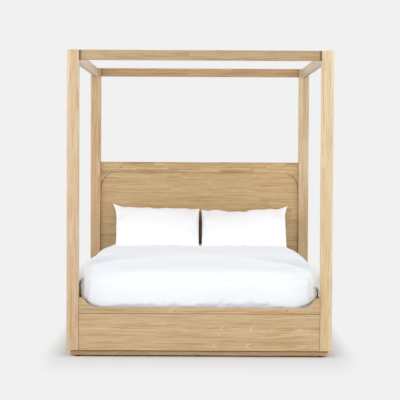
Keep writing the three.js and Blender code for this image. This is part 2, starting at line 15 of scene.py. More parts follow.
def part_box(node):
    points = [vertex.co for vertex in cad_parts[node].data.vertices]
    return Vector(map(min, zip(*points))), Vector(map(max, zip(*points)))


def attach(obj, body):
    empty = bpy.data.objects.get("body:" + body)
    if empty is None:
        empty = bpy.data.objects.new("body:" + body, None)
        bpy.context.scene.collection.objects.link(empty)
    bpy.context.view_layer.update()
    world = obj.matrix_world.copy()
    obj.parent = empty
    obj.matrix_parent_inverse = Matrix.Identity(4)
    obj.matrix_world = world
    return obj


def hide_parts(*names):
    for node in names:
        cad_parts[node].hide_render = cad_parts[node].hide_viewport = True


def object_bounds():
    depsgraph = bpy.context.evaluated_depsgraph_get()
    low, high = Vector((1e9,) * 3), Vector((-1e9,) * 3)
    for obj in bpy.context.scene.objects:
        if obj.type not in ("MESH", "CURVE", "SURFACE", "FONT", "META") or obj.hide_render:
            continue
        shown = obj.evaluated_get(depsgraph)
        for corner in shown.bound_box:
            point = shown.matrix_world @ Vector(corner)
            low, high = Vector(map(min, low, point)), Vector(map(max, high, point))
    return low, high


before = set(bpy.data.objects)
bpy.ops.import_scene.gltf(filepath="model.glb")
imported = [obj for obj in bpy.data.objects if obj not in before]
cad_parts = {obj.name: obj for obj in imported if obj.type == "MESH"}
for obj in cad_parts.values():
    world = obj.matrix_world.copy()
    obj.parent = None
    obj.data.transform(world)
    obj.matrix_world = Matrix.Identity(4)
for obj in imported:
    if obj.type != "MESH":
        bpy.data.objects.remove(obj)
cad_low, cad_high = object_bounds()

MM = 0.001


def linear(colour):
    """A colour written as 0 to 255 in the picture, as linear light."""
    shares = [c / 255 for c in colour]
    return tuple(c / 12.92 if c <= 0.04045 else ((c + 0.055) / 1.055) ** 2.4 for c in shares)


def scaled(colour, shares):
    return tuple(c * s for c, s in zip(colour, shares))


# Material building

class Nodes:
    """Nodes under construction in one tree."""

    def __init__(self, tree):
        self.tree = tree

    def node(self, kind, inputs=None, **settings):
        made = self.tree.nodes.new(kind)
        for key, value in settings.items():
            setattr(made, key, value)
        for key, value in (inputs or {}).items():
            self.feed(made.inputs[key], value)
        return made

    def feed(self, socket, value):
        if isinstance(value, bpy.types.NodeSocket):
            self.tree.links.new(value, socket)
        else:
            socket.default_value = value

    def math(self, operation, *values):
        return self.node("ShaderNodeMath", dict(enumerate(values)), operation=operation).outputs[0]

    add = partialmethod(math, "ADD")
    sub = partialmethod(math, "SUBTRACT")
    mul = partialmethod(math, "MULTIPLY")
    div = partialmethod(math, "DIVIDE")
    size = partialmethod(math, "ABSOLUTE")
    sine = partialmethod(math, "SINE")

    def between(self, value, low, high, to_low=0.0, to_high=1.0):
        values = {"Value": value, "From Min": low, "From Max": high, "To Min": to_low, "To Max": to_high}
        return self.node("ShaderNodeMapRange", values, interpolation_type="SMOOTHSTEP").outputs["Result"]


class Paint(Nodes):
    """A node material under construction."""

    def __init__(self, name):
        self.material = bpy.data.materials.new(name)
        self.material.use_nodes = True
        super().__init__(self.material.node_tree)
        self.shader = self.tree.nodes["Principled BSDF"]
        self.place = self.node("ShaderNodeTexCoord").outputs["Object"]

    def split(self, vector):
        made = self.node("ShaderNodeSeparateXYZ", {0: vector})
        return [made.outputs[axis] for axis in "XYZ"]

    def join(self, x, y, z):
        return self.node("ShaderNodeCombineXYZ", {"X": x, "Y": y, "Z": z}).outputs[0]

    def noise(self, vector, scale=1.0, detail=2.0, roughness=0.5):
        values = {"Vector": vector, "Scale": scale, "Detail": detail, "Roughness": roughness}
        return self.node("ShaderNodeTexNoise", values).outputs["Fac"]

    def white(self, vector):
        return self.node("ShaderNodeTexWhiteNoise", {"Vector": vector}).outputs["Value"]

    def mix(self, share, first, second, blend="MIX"):
        made = self.node("ShaderNodeMix", data_type="RGBA", blend_type=blend)
        self.feed(made.inputs["Factor"], share)
        for key, colour in ((6, first), (7, second)):
            if not isinstance(colour, bpy.types.NodeSocket):
                colour = (*colour, 1.0)
            self.feed(made.inputs[key], colour)
        return made.outputs[2]

    def bump(self, height, distance, strength):
        values = {"Height": height, "Distance": distance, "Strength": strength}
        self.surface(Normal=self.node("ShaderNodeBump", values).outputs["Normal"])

    def surface(self, **values):
        """Feeds the shader's inputs, named with underscores for spaces."""
        for key, value in values.items():
            self.feed(self.shader.inputs[key.replace("_", " ")], value)


# Oak: staves glued side by side and end to end, with streaks, flecks and pores along the grain

# Which of a point's coordinates run along the grain, across it and into the wood
GRAIN_AXES = {"X": (0, 2, 1), "Y": (1, 2, 0), "Z": (2, 0, 1)}

BASE_TINT = (1.05, 1.06, 1.08)
STREAK_TINT = (0.80, 0.63, 0.44)
BROWN_TINT = (0.68, 0.55, 0.40)
PALE_TINT = (1.12, 1.17, 1.26)
PORE_TINT = (0.5, 0.38, 0.27)
JOINT_TINT = (0.35, 0.26, 0.2)
# Painted shade for the post shadows at each end of a canopy rail
END_SHADE_TINT = (0.4, 0.33, 0.25)
# Painted shadow in the groove of the headboard's arch
ARCH_SHADE_TINT = (0.3, 0.22, 0.15)
FLAME_PALE, FLAME_WARM, FLAME_HEART = (1.24, 1.33, 1.45), (0.9, 0.64, 0.44), (0.78, 0.74, 0.72)
KNOT_TINT = (0.42, 0.3, 0.2)

# Noise stretched along the grain: scale along, scale across, detail, roughness
GRAINS = {
    "broad": (0.6, 17.0, 2.0, 0.55),
    "streak": (2.3, 80.0, 5.0, 0.68),
    "brown": (4.6, 180.0, 4.0, 0.68),
    "pale": (4.4, 145.0, 5.0, 0.7),
    "hair": (14.0, 520.0, 3.0, 0.55),
    "pores": (30.0, 900.0, 2.0, 0.55),
}

# What the grains tint, in order: where each starts and is full, its share, its tint
GRAIN_TINTS = (
    ("broad", 0.42, 0.62, 0.38, STREAK_TINT),
    ("pale", 0.51, 0.4, 1.0, PALE_TINT),
    ("streak", 0.51, 0.62, 0.85, STREAK_TINT),
    ("brown", 0.52, 0.64, 0.8, BROWN_TINT),
    ("hair", 0.54, 0.72, 0.45, BROWN_TINT),
)
PORE_SHARE = 0.4
STAVE_DARKER, STAVE_PALER = 0.17, 0.13


class Oak(Paint):
    """Oak with its grain along one axis, coloured layer by layer."""

    def __init__(self, name, tone, along):
        super().__init__(name)
        parts = self.split(self.place)
        self.length, self.across, self.depth = (parts[axis] for axis in GRAIN_AXES[along])
        self.base = linear(tone)
        self.colour = scaled(self.base, BASE_TINT)

    def tint(self, share, tint):
        self.colour = self.mix(share, self.colour, scaled(self.base, tint))

    def multiply(self, share, factor):
        self.colour = self.mix(share, self.colour, factor, "MULTIPLY")


def oak(name, tone, along, seed, stave, contrast, figure, waver=0.03, *,
        flames=(), knots=(), arch=None, joint=None, drift=None, ends=None):
    """Oak for one piece.

    stave: the staves' length and width, and where a joint between them lies
    contrast, figure, waver: between the staves, of the grain, and how far the grain wanders
    joint: place of a glued joint across the grain
    drift: painted shade fading out along the grain: the place below which it is full, its tint, and a further
    place from which there is none
    ends: half the length of a piece that gets painted shade at each end, for the shadow of the parts it meets
    there, and the share of that shade
    """
    wood = Oak(name, tone, along)
    length, across = wood.length, wood.across

    # Which stave a point is in
    row = wood.math("FLOOR", wood.div(wood.sub(across, stave[2]), stave[1]))
    row_random = wood.white(wood.join(row, seed, 0.5))
    shifted = wood.add(length, wood.mul(row_random, stave[0] * 3))
    cell = wood.math("FLOOR", wood.div(shifted, stave[0]))
    random = wood.white(wood.join(row, cell, seed + 0.25))
    other = wood.white(wood.join(cell, row, seed + 7.75))

    # The grain wavers slowly, and starts afresh in each stave
    slow = wood.join(wood.mul(length, 1.3), wood.mul(across, 4.0), seed)
    grain_across = wood.add(across, wood.mul(wood.noise(slow, detail=1.0), waver))
    jump = wood.add(wood.mul(random, 40.0 * min(contrast * 4, 1)), seed * 3.1)
    grains = {}
    for kind, (along_scale, across_scale, detail, roughness) in GRAINS.items():
        place = wood.join(
            wood.add(wood.mul(length, along_scale), jump),
            wood.mul(grain_across, across_scale),
            wood.mul(wood.depth, across_scale),
        )
        grains[kind] = wood.noise(place, 1.0, detail, roughness)
    streak, hair, pores = grains["streak"], grains["hair"], grains["pores"]

    for kind, low, high, share, tint in GRAIN_TINTS:
        wood.tint(wood.between(grains[kind], low, high, 0.0, min(1.0, share * figure)), tint)
    wood.tint(wood.between(pores, 0.62, 0.74, 0.0, PORE_SHARE), PORE_TINT)
    for flame in flames:
        add_flame(wood, streak, *flame)
    for knot in knots:
        add_knot(wood, grains["brown"], *knot)
    # Painted shadow line along the headboard's arch groove
    if arch:
        add_arch_shade_line(wood, *arch)
    if joint is not None:
        away = wood.size(wood.sub(across, joint))
        wood.tint(wood.between(away, 1 * MM, 4 * MM, 0.6, 0.0), JOINT_TINT)
    # Painted shade at each end, for the shadow cast by the parts the piece meets
    if ends:
        away = wood.sub(ends[0], wood.size(length))
        wood.tint(wood.between(away, 12 * MM, 18 * MM, ends[1], 0.0), END_SHADE_TINT)

    # Tone of each stave; then painted shade along the piece's length, darker low down where less light falls
    wood.multiply(contrast, wood.mix(other, (1.0, 0.98, 0.94), (0.985, 1.0, 1.03)))
    level = wood.between(random, 0.0, 1.0, 1.0 - STAVE_DARKER * contrast, 1.0 + STAVE_PALER * contrast)
    wood.multiply(1.0, wood.join(level, level, level))
    if drift:
        first, tint, last = drift
        wood.multiply(1.0, wood.mix(wood.between(length, first, last), tint, (1.0, 1.0, 1.0)))

    roughness = wood.between(streak, 0.3, 0.7, 0.42, 0.58)
    wood.surface(Base_Color=wood.colour, Roughness=roughness, Specular_IOR_Level=0.5)
    wood.bump(wood.sub(hair, wood.mul(pores, 0.5)), 0.08 * MM, 0.5)
    return wood.material


def add_flame(wood, streak, start, end, middle, half, tip=1.0):
    """A spindle of cathedral grain: a pale round start, and a warm nested point with a pale tip."""
    s = wood.div(wood.sub(wood.length, start), end - start)
    q = wood.size(wood.div(wood.sub(wood.across, middle), half))
    rough = wood.mul(wood.sub(streak, 0.5), 0.09)
    round_end = wood.add(wood.sub(s, wood.mul(wood.mul(q, q), 0.15)), rough)
    point = wood.add(wood.sub(wood.sub(1.0, wood.mul(q, 0.6)), s), rough)

    arc = wood.between(wood.size(round_end), 0.0, 0.024, 0.7, 0.0)
    wood.tint(wood.mul(arc, wood.between(q, 0.45, 1.1, 1.0, 0.0)), FLAME_PALE)

    near = wood.mul(wood.between(point, 0.5, 0.04), wood.between(q, 0.6, 0.15))
    ribs = wood.between(wood.sine(wood.mul(point, 58.0)), -0.8, 1.0, 0.4, 1.0)
    wood.tint(wood.mul(wood.mul(ribs, near), wood.between(point, 0.0, 0.03, 0.0, 0.95 * tip)), FLAME_WARM)
    end_line = wood.between(wood.size(point), 0.0, 0.07, 0.95 * tip, 0.0)
    wood.tint(wood.mul(end_line, wood.between(q, 0.08, 0.42, 1.0, 0.0)), FLAME_PALE)

    heart = wood.mul(wood.between(round_end, 0.3, 0.08), wood.between(q, 0.8, 0.3))
    heart = wood.mul(heart, wood.between(round_end, 0.0, 0.06, 0.0, 0.45))
    wood.tint(wood.mul(heart, wood.between(streak, 0.4, 0.6)), FLAME_HEART)


def distance(nodes, x, z):
    return nodes.math("SQRT", nodes.add(nodes.mul(x, x), nodes.mul(z, z)))


def add_knot(wood, brown, place, size):
    """A small knot, longer along the grain, in a warm patch."""
    x = wood.div(wood.sub(wood.length, place[0]), size * 1.7)
    z = wood.div(wood.sub(wood.across, place[1]), size)
    away = wood.add(distance(wood, x, z), wood.sub(brown, 0.5))
    wood.tint(wood.between(away, 2.2, 0.8, 0.0, 0.5), STREAK_TINT)
    wood.tint(wood.between(away, 1.0, 0.4, 0.0, 0.85), KNOT_TINT)


def add_arch_shade_line(wood, centre_x, spring_z, radius):
    """Painted shadow along the groove of the headboard's arch, darkest round its two corners."""
    x = wood.math("MAXIMUM", wood.sub(wood.size(wood.length), centre_x), 0.0)
    z = wood.math("MAXIMUM", wood.sub(wood.across, spring_z), 0.0)
    away = wood.size(wood.sub(distance(wood, x, z), radius))
    low = wood.between(wood.across, spring_z - 0.06, spring_z + 0.01, 0.15, 1.0)
    share = wood.mul(wood.between(x, 0.0, 0.03, 0.25, 0.8), low)
    wood.tint(wood.mul(wood.between(away, 1.2 * MM, 4.5 * MM, 1.0, 0.0), share), ARCH_SHADE_TINT)


# The slats' and the beam's wood, and what the fittings are made of

PINE = (222, 199, 158)


def pine(name, along, seed):
    return oak(name, PINE, along, seed, (3.0, 0.12, 0.0), 0.3, 0.6)


def steel():
    paint = Paint("zinc_plated_steel")
    cloud = paint.noise(paint.place, 55.0, 4.0, 0.6)
    colour = paint.mix(cloud, (0.42, 0.43, 0.45), (0.62, 0.63, 0.64))
    roughness = paint.between(cloud, 0.3, 0.7, 0.28, 0.5)
    paint.surface(Base_Color=colour, Roughness=roughness, Metallic=1.0)
    paint.bump(paint.noise(paint.place, 900.0), 0.05 * MM, 0.4)
    return paint.material


def dark_plastic():
    paint = Paint("dark_moulded_plastic")
    grain = paint.noise(paint.place, 1400.0, 3.0)
    paint.surface(Base_Color=paint.mix(grain, (0.022, 0.014, 0.01), (0.04, 0.026, 0.02)), Roughness=0.55)
    paint.bump(grain, 0.05 * MM, 0.5)
    return paint.material


# Woven cloth: two crossed threads, slubs and a soft cloud of tone

# Per-point shares of painted shade on the duvet: in its crease, its tucked foot corners and along the
# footboard's sweeps
FOLD_SHADE_VALUES = "fold"


def cloth(name, tone, shade, thread, fold_shade=None):
    """A woven cloth; the fold shade colour is painted in as shade wherever the piece's own painted shade
    values say so.
    """
    paint = Paint(name)
    x, y, z = paint.split(paint.place)
    turns = math.tau / thread
    warp = paint.sine(paint.mul(paint.add(x, z), turns))
    weft = paint.sine(paint.mul(paint.sub(y, z), turns))
    weave = paint.mul(warp, weft)
    slub = paint.noise(paint.join(paint.mul(x, 30.0), paint.mul(y, 420.0), z), 1.0, 3.0)
    cloud = paint.noise(paint.place, 2.3, 3.0)
    colour = paint.mix(paint.between(cloud, 0.3, 0.7, 0.0, 0.5), linear(tone), linear(shade))
    colour = paint.mix(paint.between(slub, 0.55, 0.8, 0.0, 0.25), colour, linear(shade))
    colour = paint.mix(paint.between(weave, -1.0, 1.0, 0.12, 0.0), colour, linear(shade))
    # Painted shade, warm with the wood's bounce, where the piece's values ask for it
    if fold_shade:
        fold = paint.node("ShaderNodeAttribute", attribute_name=FOLD_SHADE_VALUES).outputs["Fac"]
        colour = paint.mix(fold, colour, linear(fold_shade))
    roughness = paint.between(slub, 0.3, 0.7, 0.82, 0.94)
    paint.surface(Base_Color=colour, Roughness=roughness, Specular_IOR_Level=0.2)
    paint.surface(Sheen_Weight=0.25, Sheen_Roughness=0.5)
    paint.bump(paint.add(weave, paint.mul(slub, 1.5)), 0.12 * MM, 0.5)
    return paint.material


# Timber keeps its CAD solids, with the edges rounded a little more

TIMBER_WELD = 0.05 * MM
TIMBER_EDGE = 0.9 * MM
TIMBER_EDGE_ANGLE = math.radians(30)

# Tone, seed and stave of each post, and its painted shade towards the floor: where it is full, its tint, and
# where it has faded out
POSTS = {
    "front_left": ((214, 189, 155), 3.1, (2.4, 0.0585, -0.806), (0.3, (0.91, 0.86, 0.82), 1.4)),
    "front_right": ((214, 191, 152), 4.3, (2.4, 0.05, 0.815), (0.3, (0.97, 0.95, 0.9), 1.1)),
    "rear_left": ((197, 165, 127), 5.1, (1.1, 0.039, 0.0), (0.7, (0.94, 0.9, 0.86), 1.1)),
    "rear_right": ((197, 174, 138), 6.3, (1.3, 0.039, 0.0), (0.7, (0.85, 0.78, 0.7), 1.25)),
}

RAIL_HALF = 0.787

# Tone, grain, seed and painted shade at each end of each canopy rail: half its length and the share, for the
# shadow the posts cast on a rail set back behind them
CANOPY_RAILS = {
    "front": ((183, 157, 117), "X", 11.3, (RAIL_HALF, 0.85)),
    "rear": ((179, 149, 106), "X", 12.3, (RAIL_HALF, 0.35)),
    # The side rails' paler, greyer tone is partly the oak's own and partly painted sheen, for the light their
    # inner faces catch at a grazing angle
    "left": ((209, 188, 164), "Y", 13.3, None),
    "right": ((209, 188, 164), "Y", 14.3, None),
}

# The headboard's arch, along whose groove a shadow line is painted: where its corners' centres lie, and their
# radius
ARCH = (0.6607, 1.048, 0.122)
HEAD_KNOTS = (((-0.621, 1.2106), 0.006), ((0.42, 1.2), 0.004))

# The footboard: its glued joint, knots, and flames (start, end, middle, half width, tip)
FOOT_JOINT = 0.284
FOOT_KNOTS = (((0.568, 0.3069), 0.005), ((-0.158, 0.3013), 0.004))
FOOT_FLAMES = (
    (0.331, 0.666, 0.1825, 0.034), (0.312, 0.69, 0.0733, 0.032),
    (0.142, 0.5, 0.1885, 0.03, 0.0), (0.095, 0.46, 0.0773, 0.03, 0.0),
)


def finish_timber(node, material):
    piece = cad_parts[node]
    piece.data.materials.clear()
    piece.data.materials.append(material)
    weld = piece.modifiers.new("weld", "WELD")
    weld.merge_threshold = TIMBER_WELD
    bevel = piece.modifiers.new("edge", "BEVEL")
    bevel.width = TIMBER_EDGE
    bevel.segments = 2
    bevel.limit_method = "ANGLE"
    bevel.angle_limit = TIMBER_EDGE_ANGLE
    piece.modifiers.new("normals", "WEIGHTED_NORMAL")


def dress(node, name, *facts, **special):
    finish_timber(node, oak(f"oak_{name}", *facts, **special))


def dress_timber():
    for corner, (tone, seed, stave, drift) in POSTS.items():
        post = f"post_{corner}"
        dress(post, post, tone, "Z", seed, stave, 0.45, 0.75, 0.02, drift=drift)
    for side, (tone, along, seed, ends) in CANOPY_RAILS.items():
        rail = f"canopy_rail_{side}"
        dress(rail, rail, tone, along, seed, (0.55, 0.033, 0.0), 0.35, 0.85, ends=ends)
    dress("headboard_top_rail", "head_rail", (189, 162, 119), "X", 21.7, (0.26, 0.03, 1.252), 0.7, 1.05,
          knots=HEAD_KNOTS, arch=ARCH)
    dress("headboard_panel", "head_panel", (188, 160, 116), "X", 23.9, (1.3, 0.07, 1.17), 0.25, 0.85, 0.02,
          arch=ARCH)
    dress("headboard_lower_rail", "head_lower", (195, 167, 123), "X", 25.1, (1.1, 0.07, 0.0), 0.3, 0.9)
    dress("footboard_top_rail", "foot_rail", (195, 167, 126), "X", 31.3, (0.6, 0.06, 0.284), 0.35, 0.8,
          knots=FOOT_KNOTS, joint=FOOT_JOINT)
    dress("footboard_panel", "foot_panel", (198, 172, 132), "X", 33.3, (9.0, 1.0, -0.4), 0.1, 0.8,
          flames=FOOT_FLAMES, joint=FOOT_JOINT)
    for number, side in enumerate(("left", "right")):
        dress(f"side_rail_{side}", f"side_{side}", (200, 173, 133), "Y", 41.7 + number,
              (1.2, 0.07, 0.0), 0.3, 0.9, 0.04)
        dress(f"plinth_{side}", f"plinth_{side}", (192, 162, 121), "Y", 43.7 + number,
              (0.8, 0.05, 0.0), 0.4, 0.8, 0.02)
    for number, end in enumerate(("front", "rear")):
        dress(f"plinth_{end}", f"plinth_{end}", (184, 154, 113), "X", 45.7 + number,
              (0.8, 0.05, 0.0), 0.4, 0.8, 0.02)


def dress_base():
    slat_wood = [pine(f"pine_slat_{number}", "X", 51.3 + number * 2.7) for number in range(3)]
    length_wood = pine("pine_length", "Y", 61.9)
    leg_wood = pine("pine_leg", "Z", 63.1)
    zinc = steel()
    plastic = dark_plastic()
    for node in sorted(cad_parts):
        if node.startswith("slat_ledger") or node == "centre_beam":
            finish_timber(node, length_wood)
        elif node.startswith("slat_"):
            finish_timber(node, slat_wood[int(node[-2:]) % len(slat_wood)])
        elif node.startswith("beam_leg"):
            finish_timber(node, leg_wood)
        elif node.startswith(("beam_hanger", "corner_bracket")):
            finish_timber(node, zinc)
        elif node.startswith("glide_foot"):
            finish_timber(node, plastic)


# Meshes

def put_in_scene(name, data):
    piece = bpy.data.objects.new(name, data)
    bpy.context.scene.collection.objects.link(piece)
    return piece


def mesh_piece(name, points, faces, material, body):
    data = bpy.data.meshes.new(name)
    data.from_pydata([tuple(p) for p in points], [], faces)
    data.polygons.foreach_set("use_smooth", [True] * len(data.polygons))
    data.materials.append(material)
    data.update()
    piece = put_in_scene(name, data)
    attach(piece, body)
    return piece


def grid_faces(rows, columns, start=0, flip=False):
    """Quads over a grid of points, counted row by row from start."""
    faces = []
    for row in range(rows - 1):
        for column in range(columns - 1):
            a = start + row * columns + column
            quad = (a, a + 1, a + columns + 1, a + columns)
            faces.append(quad[::-1] if flip else quad)
    return faces


def rim_of(rows, columns):
    """The places round the edge of a grid, in order."""
    grid = np.arange(rows * columns).reshape(rows, columns)
    return np.concatenate([grid[0], grid[1:, -1], grid[-1, -2::-1], grid[-2:0:-1, 0]]).tolist()


def inside_of(rows, columns):
    """The places of a grid that aren't on its edge."""
    return np.arange(rows * columns).reshape(rows, columns)[1:-1, 1:-1].ravel().tolist()


def closed_sheet(outer, inner):
    """Points and faces of a closed shell between two grids of the same shape."""
    rows, columns = outer.shape[:2]
    count = rows * columns
    points = np.concatenate([outer.reshape(-1, 3), inner.reshape(-1, 3)])
    faces = grid_faces(rows, columns) + grid_faces(rows, columns, count, True)
    rim = rim_of(rows, columns)
    for place, a in enumerate(rim):
        b = rim[(place + 1) % len(rim)]
        faces.append((a, count + a, count + b, b))
    return points, faces


def grid_normals(grid):
    """Unit normals of a grid of points, to the side that its quads face."""
    across = np.gradient(grid, axis=1)
    along = np.gradient(grid, axis=0)
    normals = np.cross(across, along)
    return normals / np.maximum(np.linalg.norm(normals, axis=2, keepdims=True), 1e-9)


def ramp(value, low, high):
    """0 up to low, 1 from high on, and smooth between."""
    share = np.clip((value - low) / (high - low), 0, 1)
    return share * share * (3 - 2 * share)


def hump(value, width):
    """1 at 0, and close to 0 from twice the width on."""
    return np.exp(-((value / width) ** 2))


def waves(shape, u, v):
    """Smooth waves over a plane, up and down by a height, on a lattice of a cell, from a seed."""
    height, cell, seed = shape
    side = 64
    lattice = np.random.default_rng(seed).uniform(-1, 1, (side, side))
    a, b = u / cell + side / 2 - 0.5, v / cell + side / 2 - 0.5
    i, j = np.floor(a).astype(int), np.floor(b).astype(int)
    s, t = ramp(a - i, 0, 1), ramp(b - j, 0, 1)
    corners = [[lattice[(i + di) % side, (j + dj) % side] for di in (0, 1)] for dj in (0, 1)]
    low, high = (first * (1 - s) + second * s for first, second in corners)
    return height * (low * (1 - t) + high * t)


# Mattress: rounded block with a quilted top, and piping round both rims

MATTRESS_EDGE_ROUND = 55 * MM
MATTRESS_CORNER_ROUND = 60 * MM
MATTRESS_EDGE_STEPS = 8
MATTRESS_PIPING = 5 * MM
PIPING_SIDES = 8
PIPING_PROUD = 0.4
QUILT_CELL = 0.11
QUILT_DEPTH = 7 * MM
QUILT_GRID = (150, 112)
QUILT_EDGE = 50 * MM


def ring_points(half_x, half_y, radius, middle_y, z, steps=12):
    """Points round a rectangle with rounded corners."""
    ring = []
    for turn, (side_x, side_y) in enumerate(((1, 1), (-1, 1), (-1, -1), (1, -1))):
        for step in range(steps + 1):
            angle = (turn + step / steps) * math.pi / 2
            x = side_x * (half_x - radius) + radius * math.cos(angle)
            y = side_y * (half_y - radius) + radius * math.sin(angle)
            ring.append((x, middle_y + y, z))
    return ring


def make_mattress(fabric, tape):
    low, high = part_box("mattress")
    middle_y = (low.y + high.y) / 2
    half_x, half_y = (high.x - low.x) / 2, (high.y - low.y) / 2
    edge, corner = MATTRESS_EDGE_ROUND, MATTRESS_CORNER_ROUND
    quarter = [math.pi / 2 * step / MATTRESS_EDGE_STEPS for step in range(MATTRESS_EDGE_STEPS + 1)]
    sections = [(angle, low.z + edge * (1 - math.sin(angle))) for angle in quarter[::-1]]
    sections += [(0.0, low.z + edge + (high.z - low.z - 2 * edge) * share) for share in (0.25, 0.5, 0.75)]
    sections += [(angle, high.z - edge * (1 - math.sin(angle))) for angle in quarter]
    points, faces = [], []
    for angle, z in sections:
        inset = edge * (1 - math.cos(angle))
        points += ring_points(half_x - inset, half_y - inset, corner - inset, middle_y, z)
    size = len(points) // len(sections)
    for start in range(0, len(points) - size, size):
        for place in range(size):
            after = (place + 1) % size
            faces.append((start + place, start + after, start + size + after, start + size + place))
    faces.append(tuple(range(size))[::-1])
    faces.append(tuple(range(len(points) - size, len(points))))
    cover = mesh_piece("mattress_cover", points, faces, fabric, "mattress")
    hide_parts("mattress")
    add_quilted_top(low, high, fabric)
    proud = MATTRESS_PIPING * PIPING_PROUD
    for name, z in (("lower", low.z + edge), ("upper", high.z - edge)):
        path = ring_points(half_x - proud, half_y - proud, corner, middle_y, z)
        add_piping(f"mattress_piping_{name}", path, tape)


def quilting(x, y):
    """Height of the diamond quilting at a point of the mattress top."""
    a = np.abs(np.sin((x + y) * math.pi / QUILT_CELL))
    b = np.abs(np.sin((x - y) * math.pi / QUILT_CELL))
    return QUILT_DEPTH * (np.minimum(np.sqrt(a * b), 1) - 1)


def add_quilted_top(low, high, fabric):
    inset = MATTRESS_EDGE_ROUND * 0.9
    rows, columns = QUILT_GRID
    x, y = np.meshgrid(
        np.linspace(low.x + inset, high.x - inset, columns), np.linspace(low.y + inset, high.y - inset, rows))
    edge = np.minimum(np.minimum(x - x.min(), x.max() - x), np.minimum(y - y.min(), y.max() - y))
    z = high.z - 0.1 * MM + quilting(x, y) * np.clip(edge / QUILT_EDGE, 0, 1)
    outer = np.stack([x, y, z], axis=2)
    inner = outer.copy()
    inner[..., 2] = high.z - QUILT_DEPTH - 4 * MM
    points, faces = closed_sheet(outer, inner)
    top = mesh_piece("mattress_quilted_top", points, faces, fabric, "mattress")


def add_piping(name, path, material):
    points, faces = [], []
    count = len(path)
    up = Vector((0, 0, 1))
    for place, centre in enumerate(path):
        forward = (Vector(path[(place + 1) % count]) - Vector(path[place - 1])).normalized()
        outward = forward.cross(up)
        for side in range(PIPING_SIDES):
            angle = math.tau * side / PIPING_SIDES
            offset = outward * math.cos(angle) + up * math.sin(angle)
            points.append(Vector(centre) + offset * MATTRESS_PIPING / 2)
            near, far = place * PIPING_SIDES, (place + 1) % count * PIPING_SIDES
            after = (side + 1) % PIPING_SIDES
            faces.append((near + side, far + side, far + after, near + after))
    piping = mesh_piece(name, points, faces, material, "mattress")


# Duvet. It is shaped in flat coordinates: u across and v along, as the cloth runs

DUVET_SIDE_GAP = 2 * MM
DUVET_ROUND = 98 * MM
DUVET_HEAD_ROUND = 130 * MM
DUVET_INNER_ROUND = 50 * MM
DUVET_COLUMNS, DUVET_ROWS = 100, 124
DUVET_ROUND_STEPS, DUVET_DROP_STEPS = 14, 27
DUVET_SEAM = 6 * MM
DUVET_SEAM_CELLS = 3.0
DUVET_PRESSURE = 1.2
DUVET_SLACK = 0.012
DUVET_CAP = 5 * MM
DUVET_SHARP_HOLD = 0.9
DUVET_RIDGE = 8 * MM
DUVET_CLEAR = 1.5 * MM
DUVET_STRAY = 3 * MM
PILLOWS_FROM_Y = 0.5
BELOW_PILLOWS_Z = 0.4

# The long soft crease over the bed, from one foot corner to the other
CREASE = (
    (-0.84, -1.25), (-0.757, -1.10), (-0.732, -1.02), (-0.712, -0.90), (-0.68, -0.75), (-0.62, -0.58),
    (-0.52, -0.42), (-0.36, -0.27), (-0.18, -0.16), (0.0, -0.10), (0.18, -0.16), (0.36, -0.33),
    (0.52, -0.50), (0.63, -0.64), (0.695, -0.86), (0.735, -1.02), (0.752, -1.09), (0.84, -1.3),
)
CREASE_DEPTH = 12 * MM
CREASE_WIDTH = 34 * MM
CREASE_STEP = 16 * MM
# Painted shade in the crease's valley: its share, then its place and width across the crease
CREASE_SHADE = 0.17
CREASE_SHADE_PLACE, CREASE_SHADE_WIDTH = -12 * MM, 30 * MM
BANK_HEIGHT = 10 * MM
BANK_PLACE, BANK_WIDTH = -95 * MM, 50 * MM
FOOT_SLOPE = 32 * MM

# Height, cell and seed of the waves all over it
BROAD_WAVES = (4 * MM, 0.42, 3)
MIDDLE_WAVES = (2.5 * MM, 0.19, 5)
LONG_RIPPLES = (2.0 * MM, 0.12, 7)
SHORT_RIPPLES = (1.0 * MM, 0.05, 9)
SWING = (0.06, 0.5, 11)
DRAPE = (2.5 * MM, 0.16, 13)

# How full the left and the right shoulder are, at places along the bed
FULLNESS_PLACES = (-1.0, -0.85, -0.6, -0.1, 0.5, 0.75, 1.0)
FULLNESS = {
    -1: (1 * MM, 5 * MM, 9 * MM, 4 * MM, 1 * MM, -5 * MM, -15 * MM),
    1: (-3 * MM, -5 * MM, -6 * MM, -3 * MM, -8 * MM, -16 * MM, -25 * MM),
}

# At each foot corner the side's overhang ends in a slanting fold: heights of its lower edge at the
# foot and at the side. Below it the cover tucks in between the flap at the post and the swelling at
# the foot: heading in degrees, then the place in plan
CORNER_FOLDS = {-1: (0.524, 0.447), 1: (0.476, 0.396)}
FOLD_PROUD = 7 * MM
FOLD_FROM, FOLD_SPAN = 22, 42
FOLD_WAVER = (5 * MM, 0.04, 17)
TUCK_RIDGES = {-1: 0.2, 1: 0.6}
RIDGE_RISE, RIDGE_TURN = 30 * MM, 26
TUCK = (
    (0, 0.797, -0.931), (7, 0.7985, -0.958), (14, 0.799, -0.985), (20, 0.797, -1.000),
    (25, 0.791, -1.001), (30, 0.786, -0.978), (36, 0.780, -0.950), (42, 0.775, -0.950),
    (48, 0.771, -0.973), (54, 0.766, -0.998), (60, 0.759, -1.016), (65, 0.751, -1.027),
    (71, 0.738, -1.031), (80, 0.719, -1.031), (90, 0.699, -1.029),
)

# The foot of the cover also draws in over the footboard's sweeps, and has painted shade there
SWEEP_NEAR = (0.62, 0.7)
SWEEP_START, SWEEP_END = 0.68, 0.787
SWEEP_LOW, SWEEP_HIGH = 0.321, 0.387
SWEEP_TUCK = 12 * MM
FOOT_FACE_Y = -0.98
HEM_SHADE = 0.5


